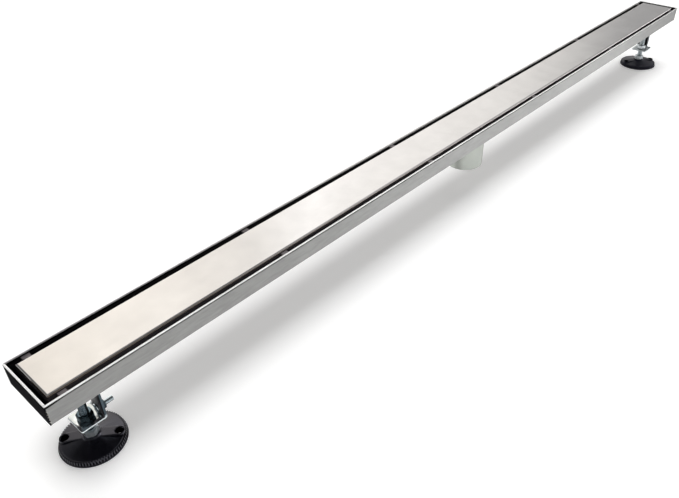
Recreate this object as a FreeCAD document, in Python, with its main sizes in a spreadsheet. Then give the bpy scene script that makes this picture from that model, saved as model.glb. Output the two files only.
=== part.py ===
import FreeCAD, Part
import os
import Sketcher
from FreeCAD import Rotation, Vector

# Linear shower drain: a long folded channel with a hemmed rim, a plain cover that leaves a water slot
# all round, a central outlet spigot and a levelling foot under each end.
# Millimetres. Origin on the floor under the middle of the channel, +X along it, +Z up.

SIZES = {
    # channel
    "drain_length": 1219.2, "drain_width": 68.0, "rim_height": 101.0, "channel_depth": 22.5,
    "sheet_gauge": 1.0, "hem_depth": 2.4, "hem_round": 0.9, "fold_radius": 0.6, "cap_corner": 0.6,
    # outlet
    "outlet_radius": 24.15, "outlet_gauge": 1.5, "outlet_drop": 41.0, "outlet_bevel": 1.0,
    "outlet_neck": 0.5, "neck_drop": 0.5, "dish_radius": 30.0, "dish_fall": 2.0, "weld_gap": 0.05,
    # cover, and the strips that carry it
    "cover_width": 52.0, "cover_end_gap": 4.5, "cover_gauge": 1.2, "cover_skirt": 8.5, "cover_round": 2.4,
    "strip_width": 7.5, "strip_gauge": 1.2, "strip_inset": 18.0, "strip_gap": 0.3, "wing_recess": 5.5,
    # levelling foot
    "foot_inset": 36.3, "disc_radius": 30.5, "disc_edge": 5.2, "disc_chamfer": 0.6, "ring_width": 2.6,
    "hub_radius": 8.5, "hub_height": 10.7, "bell_height": 9.2, "stud_seat": 2.5,
    "pad_height": 8.0, "pad_width": 10.5, "hole_radius": 3.6, "hole_circle": 23.3, "pad_angle": -38.0,
    "stud_radius": 4.0, "stud_length": 58.0, "stud_chamfer": 0.7, "thread_gap": 0.05,
    "nut_flats": 13.0, "nut_height": 6.5,
    # bracket, and the tab that it is screwed to
    "flange_height": 28.0, "plate_gauge": 2.0, "flange_width": 25.0, "flange_back": 11.2,
    "bracket_reach": 13.8, "bracket_rise": 36.0, "bracket_shoulder": 6.5, "plate_corner": 2.0,
    "bend_inside": 1.0, "stud_hole_radius": 4.5, "tab_gauge": 1.5, "tab_width": 16.0, "tab_foot": 13.0,
    "screw_rise": 6.0, "screw_radius": 2.5, "screw_length": 16.0, "screw_chamfer": 0.5, "screw_gap": 0.2,
    "screw_margin": 4.5, "head_radius": 4.5, "head_height": 1.5, "head_round": 0.8,
    "screw_nut_flats": 8.0, "screw_nut_height": 4.0,
}
STRIP_COUNT = 6

# Lengths that several pieces share, worked out from the sheet.
HALF_LENGTH = "Sizes.drain_length / 2"
HALF_WIDTH = "Sizes.drain_width / 2"
WALL_OUTER = "(Sizes.drain_width / 2 - Sizes.sheet_gauge)"
WALL_INNER = "(Sizes.drain_width / 2 - 2 * Sizes.sheet_gauge)"
RIM = "Sizes.rim_height"
HEM_FOOT = "(Sizes.rim_height - Sizes.hem_depth)"
UNDERSIDE = "(Sizes.rim_height - Sizes.channel_depth)"
FLOOR = "(Sizes.rim_height - Sizes.channel_depth + Sizes.sheet_gauge)"
DISH_FLOOR = "(%s - Sizes.dish_fall)" % FLOOR
COVER_SEAT = "(Sizes.rim_height - Sizes.cover_skirt)"
WING_TOP = "(Sizes.rim_height - Sizes.wing_recess)"
FOOT_PLACE = "(Sizes.drain_length / 2 - Sizes.foot_inset)"
FLANGE_TOP = "(Sizes.flange_height + Sizes.plate_gauge)"
UPRIGHT_FACE = "(Sizes.bracket_reach - Sizes.plate_gauge)"
TAB_FACE = "(Sizes.bracket_reach - Sizes.plate_gauge - Sizes.tab_gauge)"
SCREW_PLACE = "(Sizes.bracket_shoulder / 2)"
SCREW_HEIGHT = "(%s + Sizes.screw_rise)" % FLANGE_TOP

doc = FreeCAD.newDocument("LinearShowerDrain")
pieces = []


def make_sheet():
    sheet = doc.addObject("Spreadsheet::Sheet", "Sizes")
    for row, (alias, value) in enumerate(SIZES.items(), start=1):
        sheet.set("A%d" % row, alias)
        sheet.set("B%d" % row, str(value))
        sheet.setAlias("B%d" % row, alias)
    doc.recompute()


def new_body(label, x="0", y="0", z="0", turn=None):
    """A body named for its piece, its place bound to the sheet; turn is an axis and an angle."""
    body = doc.addObject("PartDesign::Body", "Piece_" + label)
    body.Label = label
    if turn:
        body.Placement = FreeCAD.Placement(Vector(0, 0, 0), Rotation(turn[0], 90.0))
        body.setExpression("Placement.Rotation.Angle", turn[1])
    for axis, place in (("x", x), ("y", y), ("z", z)):
        if place != "0":
            body.setExpression("Placement.Base." + axis, place)
    pieces.append(body)
    return body


def new_sketch(body, plane):
    sketch = body.newObject("Sketcher::SketchObject", "Sketch_" + body.Label)
    sketch.AttachmentSupport = [(f, "") for f in body.Origin.OriginFeatures if f.Role == plane + "_Plane"]
    sketch.MapMode = "FlatFace"
    return sketch


def bind(sketch, kind, where, expression):
    """One distance from the sketch's origin, or one radius, driven by the sheet."""
    index = sketch.addConstraint(Sketcher.Constraint(kind, *where, 1.0))
    sketch.setExpression("Constraints[%d]" % index, expression)


def outline(body, plane, corners):
    """A closed outline of straight runs; each corner is a pair of expressions."""
    sketch = new_sketch(body, plane)
    count = len(corners)
    rough = [Vector(10 * i, 10 * (i % 2), 0) for i in range(count)]
    for i in range(count):
        sketch.addGeometry(Part.LineSegment(rough[i], rough[(i + 1) % count] + Vector(0, 0.1, 0)))
    for i in range(count):
        sketch.addConstraint(Sketcher.Constraint("Coincident", i, 2, (i + 1) % count, 1))
    for i, (across, up) in enumerate(corners):
        bind(sketch, "DistanceX", (-1, 1, i, 1), across)
        bind(sketch, "DistanceY", (-1, 1, i, 1), up)
    return sketch


def circles(body, plane, rounds):
    """Circles, each with its centre and radius as expressions."""
    sketch = new_sketch(body, plane)
    for i, (across, up, radius) in enumerate(rounds):
        sketch.addGeometry(Part.Circle(Vector(10 * i, 0, 0), Vector(0, 0, 1), 1.0))
        bind(sketch, "DistanceX", (-1, 1, i, 3), across)
        bind(sketch, "DistanceY", (-1, 1, i, 3), up)
        bind(sketch, "Radius", (i,), radius)
    return sketch


def pad(body, sketch, length, symmetric=False, reverse=False):
    feature = body.newObject("PartDesign::Pad", "Pad_" + body.Label)
    feature.Profile = sketch
    feature.setExpression("Length", length)
    feature.SideType = "Symmetric" if symmetric else "One side"
    feature.Reversed = reverse
    return feature


def cut_through(body, sketch):
    feature = body.newObject("PartDesign::Pocket", "Cut_" + body.Label)
    feature.Profile = sketch
    feature.Type = "ThroughAll"
    feature.SideType = "Symmetric"
    return feature


def cut_up(body, sketch, depth):
    """A pocket that goes up from the sketch's plane."""
    feature = body.newObject("PartDesign::Pocket", "Cut_" + body.Label)
    feature.Profile = sketch
    feature.setExpression("Length", depth)
    feature.Reversed = True
    return feature


def turned(body, sketch, axis="V_Axis", kind="Revolution"):
    feature = body.newObject("PartDesign::" + kind, kind + "_" + body.Label)
    feature.Profile = sketch
    feature.ReferenceAxis = (sketch, [axis])
    feature.Angle = 360.0
    return feature


def soften(body, radius, wanted):
    """Rounds the edges of the body so far whose midpoint the test accepts."""
    doc.recompute()
    base = body.Tip
    names = []
    for i, edge in enumerate(base.Shape.Edges, start=1):
        middle = edge.valueAt((edge.FirstParameter + edge.LastParameter) / 2)
        if wanted(middle, edge):
            names.append("Edge%d" % i)
    feature = body.newObject("PartDesign::Fillet", "Round_" + body.Label)
    feature.Base = (base, names)
    feature.setExpression("Radius", radius)
    return feature


def near(a, b):
    return abs(a - b) < 0.01


def size(name):
    return float(doc.getObject("Sizes").get(name))


def shell_outline():
    """Outer outline of the channel's cross-section, from the rim down one side and up the other."""
    return [("-" + HALF_WIDTH, RIM), ("-" + HALF_WIDTH, HEM_FOOT), ("-" + WALL_OUTER, HEM_FOOT),
            ("-" + WALL_OUTER, UNDERSIDE), (WALL_OUTER, UNDERSIDE), (WALL_OUTER, HEM_FOOT),
            (HALF_WIDTH, HEM_FOOT), (HALF_WIDTH, RIM)]


def channel_tray():
    """Folded sheet with a closed hem along both rims and a dished ring round the outlet."""
    body = new_body("channel_tray")
    inside = [(WALL_INNER, RIM), (WALL_INNER, FLOOR), ("-" + WALL_INNER, FLOOR), ("-" + WALL_INNER, RIM)]
    pad(body, outline(body, "YZ", shell_outline() + inside), "Sizes.drain_length - 2 * Sizes.sheet_gauge",
        symmetric=True)
    rim, gauge = size("rim_height"), size("sheet_gauge")
    underside = rim - size("channel_depth")
    half = size("drain_width") / 2
    soften(body, "Sizes.fold_radius + Sizes.sheet_gauge",
           lambda m, e: near(abs(m.y), half - gauge) and near(m.z, underside))
    soften(body, "Sizes.fold_radius",
           lambda m, e: near(abs(m.y), half - 2 * gauge) and near(m.z, underside + gauge))
    soften(body, "Sizes.hem_round",
           lambda m, e: near(m.x, 0) and (near(m.z, rim) or (near(abs(m.y), half) and m.z > underside)))
    opening = outline(body, "XZ", [("0", UNDERSIDE + " - Sizes.sheet_gauge"),
                                   ("Sizes.dish_radius", UNDERSIDE + " - Sizes.sheet_gauge"),
                                   ("Sizes.dish_radius", FLOOR + " + Sizes.sheet_gauge"),
                                   ("0", FLOOR + " + Sizes.sheet_gauge")])
    turned(body, opening, kind="Groove")
    hole = "Sizes.outlet_radius - Sizes.outlet_neck + Sizes.weld_gap"
    ring = outline(body, "XZ", [("Sizes.dish_radius", UNDERSIDE), ("Sizes.dish_radius", FLOOR),
                                (hole, DISH_FLOOR), (hole, DISH_FLOOR + " - Sizes.sheet_gauge")])
    turned(body, ring)


def end_cap(label, side):
    """End plate flush with the rims, its top folded inward between the two hems."""
    place = "(Sizes.drain_length / 2 - Sizes.sheet_gauge)"
    body = new_body(label, x=place if side > 0 else "-" + place)
    pad(body, outline(body, "YZ", shell_outline()), "Sizes.sheet_gauge", reverse=side < 0)
    reach = "(%s - Sizes.weld_gap)" % WALL_INNER
    fold = [("-" + reach, HEM_FOOT), (reach, HEM_FOOT), (reach, RIM), ("-" + reach, RIM)]
    pad(body, outline(body, "YZ", fold), "Sizes.sheet_gauge", reverse=side > 0)
    rim, gauge = size("rim_height"), size("sheet_gauge")
    half = size("drain_width") / 2
    soften(body, "Sizes.cap_corner",
           lambda m, e: near(abs(m.y), half - gauge) and near(m.z, rim - size("channel_depth")))
    soften(body, "Sizes.hem_round",
           lambda m, e: (near(abs(m.x), gauge) and near(m.z, rim))
           or (near(abs(m.y), half) and (near(abs(m.x), gauge) or near(abs(m.x), gauge / 2))))


def outlet_spigot():
    """Tube with a slim neck welded into the dished ring, bevelled at its lower end."""
    body = new_body("outlet_spigot")
    bore = "Sizes.outlet_radius - Sizes.outlet_gauge"
    neck = "Sizes.outlet_radius - Sizes.outlet_neck"
    foot = UNDERSIDE + " - Sizes.outlet_drop"
    shoulder = UNDERSIDE + " - Sizes.dish_fall - Sizes.neck_drop"
    turned(body, outline(body, "XZ", [(bore, foot), ("Sizes.outlet_radius - Sizes.outlet_bevel", foot),
                                      ("Sizes.outlet_radius", foot + " + Sizes.outlet_bevel"),
                                      ("Sizes.outlet_radius", shoulder), (neck, shoulder), (neck, DISH_FLOOR),
                                      (bore, DISH_FLOOR)]))


def cover_plate():
    """Shallow pan laid face down: flat top, folded skirt all round, open below."""
    body = new_body("cover_plate", z=COVER_SEAT)
    length = "(%s - 2 * Sizes.sheet_gauge - Sizes.cover_end_gap)" % HALF_LENGTH
    width = "(Sizes.cover_width / 2)"
    corners = [(-1, -1), (1, -1), (1, 1), (-1, 1)]
    pad(body, outline(body, "XY", [("%d * %s" % (a, length), "%d * %s" % (b, width)) for a, b in corners]),
        "Sizes.cover_skirt")
    skirt, gauge = size("cover_skirt"), size("cover_gauge")
    soften(body, "Sizes.cover_round", lambda m, e: near(m.z, skirt))
    inside = [("%d * (%s - Sizes.cover_gauge)" % (a, length), "%d * (%s - Sizes.cover_gauge)" % (b, width))
              for a, b in corners]
    cut_up(body, outline(body, "XY", inside), "Sizes.cover_skirt - Sizes.cover_gauge")
    soften(body, "Sizes.cover_round - Sizes.cover_gauge", lambda m, e: near(m.z, skirt - gauge))


def cover_strip(number):
    """Bent strip across the channel: a low seat for the cover, then up past the skirt, out to the
    wall and down to the floor."""
    pitch = "(Sizes.drain_length - 2 * Sizes.strip_inset) / %d" % (STRIP_COUNT - 1)
    body = new_body("cover_strip_%d" % (number + 1),
                    x="Sizes.strip_inset - %s + %d * %s" % (HALF_LENGTH, number, pitch))
    grip = "(Sizes.cover_width / 2 + Sizes.strip_gap)"
    outer = "(%s + Sizes.strip_gauge)" % grip
    leg = "(%s - Sizes.strip_gauge)" % WALL_INNER
    half = [(grip, COVER_SEAT), (grip, WING_TOP), (WALL_INNER, WING_TOP),
            (WALL_INNER, FLOOR + " + Sizes.fold_radius"), (WALL_INNER + " - Sizes.fold_radius", FLOOR),
            (leg, FLOOR), (leg, WING_TOP + " - Sizes.strip_gauge"),
            (outer, WING_TOP + " - Sizes.strip_gauge"), (outer, COVER_SEAT + " - Sizes.strip_gauge")]
    other = [("-(%s)" % across, up) for across, up in reversed(half)]
    pad(body, outline(body, "YZ", half + other), "Sizes.strip_width", symmetric=True)


def foot_place(side):
    return FOOT_PLACE if side > 0 else "-" + FOOT_PLACE


def screw_place(side):
    return SCREW_PLACE if side > 0 else "-" + SCREW_PLACE


def tray_tab(label, side):
    """Angle welded under the channel; its hanging leg takes the bracket's screw."""
    body = new_body(label, x=foot_place(side), y=screw_place(side))
    end = UPRIGHT_FACE + " - Sizes.tab_foot"
    pad(body, outline(body, "XZ", [(end, UNDERSIDE), (UPRIGHT_FACE, UNDERSIDE),
                                   (UPRIGHT_FACE, SCREW_HEIGHT + " - Sizes.screw_margin"),
                                   (TAB_FACE, SCREW_HEIGHT + " - Sizes.screw_margin"),
                                   (TAB_FACE, UNDERSIDE + " - Sizes.tab_gauge"),
                                   (end, UNDERSIDE + " - Sizes.tab_gauge")]),
        "Sizes.tab_width", symmetric=True)
    underside = size("rim_height") - size("channel_depth")
    face = size("bracket_reach") - size("plate_gauge")
    soften(body, "Sizes.bend_inside + Sizes.tab_gauge",
           lambda m, e: near(m.x, face) and near(m.z, underside) and near(m.y, 0))
    soften(body, "Sizes.bend_inside",
           lambda m, e: near(m.x, face - size("tab_gauge")) and near(m.z, underside - size("tab_gauge")))
    cut_through(body, circles(body, "YZ", [("0", SCREW_HEIGHT, "Sizes.screw_radius + Sizes.screw_gap")]))


def foot_bracket(label, side):
    """Angle bracket: the flange rides on the stud, the narrower upright is screwed to the tab."""
    body = new_body(label, x=foot_place(side))
    top = "Sizes.flange_height + Sizes.bracket_rise"
    pad(body, outline(body, "XZ", [("-Sizes.flange_back", "Sizes.flange_height"),
                                   ("Sizes.bracket_reach", "Sizes.flange_height"),
                                   ("Sizes.bracket_reach", top), (UPRIGHT_FACE, top),
                                   (UPRIGHT_FACE, FLANGE_TOP), ("-Sizes.flange_back", FLANGE_TOP)]),
        "Sizes.flange_width", symmetric=True)
    flange, gauge, reach = size("flange_height"), size("plate_gauge"), size("bracket_reach")
    soften(body, "Sizes.bend_inside + Sizes.plate_gauge", lambda m, e: near(m.x, reach) and near(m.z, flange))
    soften(body, "Sizes.bend_inside", lambda m, e: near(m.x, reach - gauge) and near(m.z, flange + gauge))
    sign = "-" if side > 0 else ""
    near_edge = sign + "(Sizes.flange_width / 2 - Sizes.bracket_shoulder)"
    far_edge = sign + "(Sizes.flange_width / 2 + Sizes.bracket_shoulder)"
    waist = FLANGE_TOP + " + Sizes.bend_inside"
    cut_through(body, outline(body, "YZ", [(near_edge, waist), (far_edge, waist),
                                           (far_edge, top + " + Sizes.plate_gauge"),
                                           (near_edge, top + " + Sizes.plate_gauge")]))
    cut_through(body, circles(body, "XY", [("0", "0", "Sizes.stud_hole_radius")]))
    cut_through(body, circles(body, "YZ", [(screw_place(side), SCREW_HEIGHT,
                                            "Sizes.screw_radius + Sizes.screw_gap")]))
    soften(body, "Sizes.plate_corner",
           lambda m, e: near(m.x, -size("flange_back")) and near(m.z, flange + gauge / 2)
           or (near(m.x, reach - gauge / 2) and near(m.z, flange + size("bracket_rise"))))


def hex_nut(label, flats, height, bore, **place):
    body = new_body(label, **place)
    corner = flats + " / sqrt(3)"
    half = flats + " / 2"
    step = corner + " / 2"
    pad(body, outline(body, "XY", [(half, "-" + step), (half, step), ("0", corner), ("-" + half, step),
                                   ("-" + half, "-" + step), ("0", "-" + corner)]), height)
    cut_through(body, circles(body, "XY", [("0", "0", bore)]))


def stud_nut(label, side, z):
    hex_nut(label, "Sizes.nut_flats", "Sizes.nut_height", "Sizes.stud_radius + Sizes.thread_gap",
            x=foot_place(side), z=z)


def screw_nut(label, side):
    hex_nut(label, "Sizes.screw_nut_flats", "Sizes.screw_nut_height", "Sizes.screw_radius + Sizes.thread_gap",
            x=foot_place(side) + " + Sizes.bracket_reach",
            y=screw_place(side), z=SCREW_HEIGHT, turn=(Vector(0, 1, 0), "90"))


def bracket_screw(label, side):
    """Pan-head screw through the tab and the bracket's upright."""
    body = new_body(label, x=foot_place(side), y=screw_place(side), z=SCREW_HEIGHT)
    end = TAB_FACE + " + Sizes.screw_length"
    turned(body, outline(body, "XZ", [(TAB_FACE + " - Sizes.head_height", "0"),
                                      (TAB_FACE + " - Sizes.head_height", "Sizes.head_radius - Sizes.head_round"),
                                      (TAB_FACE + " - Sizes.head_height + Sizes.head_round", "Sizes.head_radius"),
                                      (TAB_FACE, "Sizes.head_radius"), (TAB_FACE, "Sizes.screw_radius"),
                                      (end + " - Sizes.screw_chamfer", "Sizes.screw_radius"),
                                      (end, "Sizes.screw_radius - Sizes.screw_chamfer"), (end, "0")]),
           axis="H_Axis")


def levelling_stud(label, side):
    body = new_body(label, x=foot_place(side))
    low, high = "Sizes.stud_seat", "(Sizes.stud_seat + Sizes.stud_length)"
    neck = "Sizes.stud_radius - Sizes.stud_chamfer"
    turned(body, outline(body, "XZ", [("0", low), (neck, low), ("Sizes.stud_radius", low + " + Sizes.stud_chamfer"),
                                      ("Sizes.stud_radius", high + " - Sizes.stud_chamfer"), (neck, high),
                                      ("0", high)]))


def foot_disc(label, side):
    """Moulded foot: flat base ring, shallow bell up to the hub, and a raised bar with two screw holes."""
    body = new_body(label, x=foot_place(side), turn=(Vector(0, 0, 1), "Sizes.pad_angle"))
    ring = "Sizes.disc_radius - Sizes.ring_width"
    turned(body, outline(body, "XZ", [("0", "0"), ("Sizes.disc_radius", "0"),
                                      ("Sizes.disc_radius", "Sizes.disc_edge - Sizes.disc_chamfer"),
                                      ("Sizes.disc_radius - Sizes.disc_chamfer", "Sizes.disc_edge"),
                                      (ring, "Sizes.disc_edge"), ("Sizes.hub_radius", "Sizes.bell_height"),
                                      ("Sizes.hub_radius", "Sizes.hub_height"), ("0", "Sizes.hub_height")]))
    half = "Sizes.pad_width / 2"
    pad(body, outline(body, "XY", [("-Sizes.hole_circle", "-" + half), ("Sizes.hole_circle", "-" + half),
                                   ("Sizes.hole_circle", half), ("-Sizes.hole_circle", half)]), "Sizes.pad_height")
    ends = ["-Sizes.hole_circle", "Sizes.hole_circle"]
    pad(body, circles(body, "XY", [(x, "0", half) for x in ends]), "Sizes.pad_height")
    cut_through(body, circles(body, "XY", [(x, "0", "Sizes.hole_radius") for x in ends]))
    bore = "Sizes.stud_radius + Sizes.thread_gap"
    top = "Sizes.hub_height + Sizes.disc_chamfer"
    turned(body, outline(body, "XZ", [("0", "Sizes.stud_seat"), (bore, "Sizes.stud_seat"), (bore, top), ("0", top)]),
           kind="Groove")


def levelling_foot(name, side):
    tray_tab(name + "_tray_tab", side)
    foot_bracket(name + "_foot_bracket", side)
    bracket_screw(name + "_bracket_screw", side)
    screw_nut(name + "_screw_nut", side)
    stud_nut(name + "_flange_nut", side, FLANGE_TOP)
    levelling_stud(name + "_levelling_stud", side)
    stud_nut(name + "_hub_nut", side, "Sizes.hub_height")
    foot_disc(name + "_foot_disc", side)


def export(folder):
    doc.recompute()
    for thing in doc.Objects:
        if "Invalid" in thing.State or "Error" in thing.State:
            raise RuntimeError("%s did not build" % thing.Name)
    for body in pieces:
        shape = body.Shape
        if shape.isNull() or not shape.isValid() or len(shape.Solids) != 1:
            raise RuntimeError("%s is not one valid solid" % body.Label)
    os.makedirs(folder, exist_ok=True)
    for body in pieces:
        body.Shape.exportStep(os.path.join(folder, body.Label + ".step"))
        print("%-24s %10.1f mm3" % (body.Label, body.Shape.Volume))


make_sheet()
channel_tray()
end_cap("left_end_cap", -1)
end_cap("right_end_cap", 1)
outlet_spigot()
cover_plate()
for number in range(STRIP_COUNT):
    cover_strip(number)
levelling_foot("left", -1)
levelling_foot("right", 1)
export("parts")
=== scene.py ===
import bpy
import bmesh
import math
from mathutils import Matrix, Vector


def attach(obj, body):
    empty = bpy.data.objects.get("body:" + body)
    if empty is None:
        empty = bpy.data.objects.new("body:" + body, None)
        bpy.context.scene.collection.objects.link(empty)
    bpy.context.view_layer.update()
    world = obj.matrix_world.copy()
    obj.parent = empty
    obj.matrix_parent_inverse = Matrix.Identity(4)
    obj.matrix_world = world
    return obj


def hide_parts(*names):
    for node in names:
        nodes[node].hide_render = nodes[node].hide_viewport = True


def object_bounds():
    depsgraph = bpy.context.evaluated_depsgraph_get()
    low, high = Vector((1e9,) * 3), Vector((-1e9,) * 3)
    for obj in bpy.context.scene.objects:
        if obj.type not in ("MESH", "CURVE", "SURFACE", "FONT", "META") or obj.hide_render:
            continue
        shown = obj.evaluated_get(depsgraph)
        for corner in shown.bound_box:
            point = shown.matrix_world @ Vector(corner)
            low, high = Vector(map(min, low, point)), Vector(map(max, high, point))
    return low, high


# linear shower drain on two levelling feet, dressed over the solids of its frame
# sizes are in millimetres, and places along the drain are measured from its middle
mm = 0.001
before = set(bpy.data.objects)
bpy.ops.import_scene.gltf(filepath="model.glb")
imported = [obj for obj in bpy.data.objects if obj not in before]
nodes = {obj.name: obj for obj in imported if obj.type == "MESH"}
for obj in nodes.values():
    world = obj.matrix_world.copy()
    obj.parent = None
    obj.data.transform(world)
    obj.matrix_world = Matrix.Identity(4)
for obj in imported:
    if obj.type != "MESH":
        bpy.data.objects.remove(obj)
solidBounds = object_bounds()
halfLength = round(solidBounds[1][0] / mm, 3)
print("frame loaded,", len(nodes), "solids")


# colours and nodes
def linear(hexColour):
    parts = [int(hexColour[i:i + 2], 16) / 255 for i in (0, 2, 4)]
    return tuple(p / 12.92 if p <= 0.04045 else ((p + 0.055) / 1.055) ** 2.4 for p in parts) + (1.0,)


def grey(level):
    return (level, level, level, 1.0)


def addNode(tree, kind, inputs=None, stops=(), **settings):
    # a node with its settings, its inputs and links, and the stops of a colour ramp
    node = tree.nodes.new(kind)
    for name, value in settings.items():
        setattr(node, name, value)
    for name, value in (inputs or {}).items():
        if isinstance(value, bpy.types.NodeSocket):
            tree.links.new(value, node.inputs[name])
        else:
            node.inputs[name].default_value = value
    if stops:
        elements = node.color_ramp.elements
        while len(elements) < len(stops):
            elements.new(0.5)
        for element, (position, colour) in zip(elements, stops):
            element.position = position
            element.color = colour
    return node


def startMaterial(name):
    material = bpy.data.materials.new(name)
    material.use_nodes = True
    tree = material.node_tree
    tree.nodes.clear()
    return material, tree


def endMaterial(tree, shader):
    addNode(tree, "ShaderNodeOutputMaterial", {"Surface": shader.outputs["BSDF"]})


def scaleFor(size):
    # Object coordinates are in metres, so this makes a noise's cells as wide as size in millimetres
    return 1 / (size * mm)


# cover plate
coverFinish = {
    "metal": "E6E4E3", "worn": "D0CECD",  # the face, clean and worn
    "fold": "8A7F77", "foldShadeRight": "CFCBCC",  # painted shade on the near fold: darker at the left end, lighter at the right
    # painted highlight on the far fold, and painted shade on the skirt
    "farFoldHighlight": "F6F4F2", "skirt": "5E585B",
    # the short ends: a painted highlight line on the fold, and painted shade in the gap under the face's edge
    "endFold": "B4AEAE", "endGapShade": "1C1A1C",
    "foldTop": 100.5, "skirtTop": 98.8, "endInset": 7.1,
    "foldFull": 0.4, "endStops": (0.1, 0.42, 0.52), "metalFull": 0.2,  # shares of the way up the fold
    "skirtMetallic": 0.1, "roughness": 0.2, "smoother": 0.03, "rougher": 0.05,
    "streakLong": 83.3, "streak": 1.1, "cloud": 30.0,
    "lineDepth": 0.02, "lineStrength": 0.06}


def brushedSteel(v):
    # cold-rolled stainless sheet, brushed along its length: satin, its reflections drawn out by the lines
    # the real lines are under 0.3 mm wide and would not show, so they are drawn 1.1 mm wide
    material, tree = startMaterial("brushedStainless")
    point = addNode(tree, "ShaderNodeTexCoord").outputs["Object"]
    fine = scaleFor(v["streak"])
    along = addNode(tree, "ShaderNodeMapping", {
        "Vector": point, "Scale": (scaleFor(v["streakLong"]), fine, fine)})
    lines = addNode(tree, "ShaderNodeTexNoise", {
        "Vector": along.outputs["Vector"], "Scale": 1.0, "Detail": 3.0}).outputs["Fac"]
    clouds = addNode(tree, "ShaderNodeTexNoise", {
        "Vector": point, "Scale": scaleFor(v["cloud"]), "Detail": 4.0}).outputs["Fac"]
    face = addNode(tree, "ShaderNodeMix", {
        "Factor": clouds, "A": linear(v["metal"]), "B": linear(v["worn"])},
        data_type="RGBA").outputs["Result"]

    # the folded edge, painted: shade darker towards the skirt and the left end, and a painted highlight along
    # the far side
    axes = addNode(tree, "ShaderNodeSeparateXYZ", {"Vector": point}).outputs
    rise = addNode(tree, "ShaderNodeMapRange", {
        "Value": axes["Z"], "From Min": v["skirtTop"] * mm, "From Max": v["foldTop"] * mm}).outputs["Result"]
    onward = addNode(tree, "ShaderNodeMapRange", {
        "Value": axes["X"], "From Min": -halfLength * mm, "From Max": halfLength * mm}).outputs["Result"]
    farSide = addNode(tree, "ShaderNodeMath", {
        0: axes["Y"], 1: 0.0}, operation="GREATER_THAN").outputs["Value"]
    fold = addNode(tree, "ShaderNodeMix", {
        "Factor": onward, "A": linear(v["fold"]), "B": linear(v["foldShadeRight"])},
        data_type="RGBA").outputs["Result"]
    fold = addNode(tree, "ShaderNodeMix", {
        "Factor": farSide, "A": fold, "B": linear(v["farFoldHighlight"])}, data_type="RGBA").outputs["Result"]
    upFold = addNode(tree, "ShaderNodeValToRGB", {"Fac": rise}, stops=[
        (0.0, grey(0.0)), (v["foldFull"], grey(1.0)), (1.0, grey(1.0))]).outputs["Color"]
    fold = addNode(tree, "ShaderNodeMix", {
        "Factor": upFold, "A": linear(v["skirt"]), "B": fold}, data_type="RGBA").outputs["Result"]

    # the short ends, painted: the skirt's shade, a pale fold painted as a highlight line, and the gap under the
    # face's edge painted dark as shade
    paleFrom, paleTo, gapFrom = v["endStops"]
    endFold = addNode(tree, "ShaderNodeValToRGB", {"Fac": rise}, stops=[
        (0.0, linear(v["skirt"])), (paleFrom, linear(v["endFold"])),
        (paleTo, linear(v["endFold"])), (gapFrom, linear(v["endGapShade"]))]).outputs["Color"]
    away = addNode(tree, "ShaderNodeMath", {0: axes["X"]}, operation="ABSOLUTE").outputs["Value"]
    onEnd = addNode(tree, "ShaderNodeMath", {
        0: away, 1: (halfLength - v["endInset"]) * mm}, operation="GREATER_THAN").outputs["Value"]
    onTop = addNode(tree, "ShaderNodeMath", {
        0: axes["Z"], 1: v["foldTop"] * mm}, operation="GREATER_THAN").outputs["Value"]
    finish = addNode(tree, "ShaderNodeMix", {
        "Factor": onTop, "A": fold, "B": face}, data_type="RGBA").outputs["Result"]
    finish = addNode(tree, "ShaderNodeMix", {
        "Factor": onEnd, "A": finish, "B": endFold}, data_type="RGBA").outputs["Result"]

    # the skirt is nearly unmetallic, so that its painted shade shows as drawn
    metallic = addNode(tree, "ShaderNodeValToRGB", {"Fac": rise}, stops=[
        (0.0, grey(v["skirtMetallic"])), (v["metalFull"], grey(1.0))]).outputs["Color"]
    rough = addNode(tree, "ShaderNodeMapRange", {
        "Value": lines, "To Min": v["roughness"] - v["smoother"], "To Max": v["roughness"] + v["rougher"]})
    bump = addNode(tree, "ShaderNodeBump", {
        "Height": lines, "Strength": v["lineStrength"], "Distance": v["lineDepth"] * mm})
    shader = addNode(tree, "ShaderNodeBsdfPrincipled", {
        "Base Color": finish, "Metallic": metallic,
        "Roughness": rough.outputs["Result"], "Normal": bump.outputs["Normal"]})
    endMaterial(tree, shader)
    return material


# channel and end caps, folded from the same sheet
sheetFinish = {
    # painted tones: the channel's inside dark as shade, the crown near-white as a highlight, and the far rim
    # darker at its left with its lip dark, as shade
    "inside": "3C3A3D", "rim": "FBFBFA", "farRimHighlight": "DAD8D5", "farRimLeftShade": "8E8C8E", "lipShade": "3A3A3C",
    "insideReach": 32.4, "lip": 33.3,  # distances from the middle line
    "hemFoot": 98.6, "hemBlur": 0.1, "crown": 100.25, "farCrown": 100.45, "farCrownEnd": 98.8,  # heights
    # where the far rim's painted shade ends and its painted crown reaches lower
    "leftFrom": -450.0, "leftTo": -200.0, "crownTo": -150.0,
    # where the painted hem shade fades towards the right, and how much of it is left
    "creaseShadeFrom": 150.0, "creaseShadeTo": 480.0, "creaseShadeLeft": 0.15,
    # painted shade towards the right end: where it starts and ends, and the level that is left
    "rightShadeFrom": 330.0, "rightShadeTo": 606.0, "rightShadeLevel": 0.52,
    # where, and how far, the painted hem shade reaches lower at the ends
    "endShadeFrom": 585.0, "endShadeTo": 606.0, "endShadeDrop": 1.5,
    "streakLong": 14.0, "streakHigh": 1.3, "stain": 45.45, "stainPart": 0.35,
    "shadeFrom": 0.375, "shadeTo": 0.975, "darkest": 0.8, "palest": 1.2,
    "roughness": 0.48, "crownRoughness": 0.3, "crownMetallic": 0.1,
    "grain": 2.2, "grainDepth": 0.02, "grainStrength": 0.08}
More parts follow.
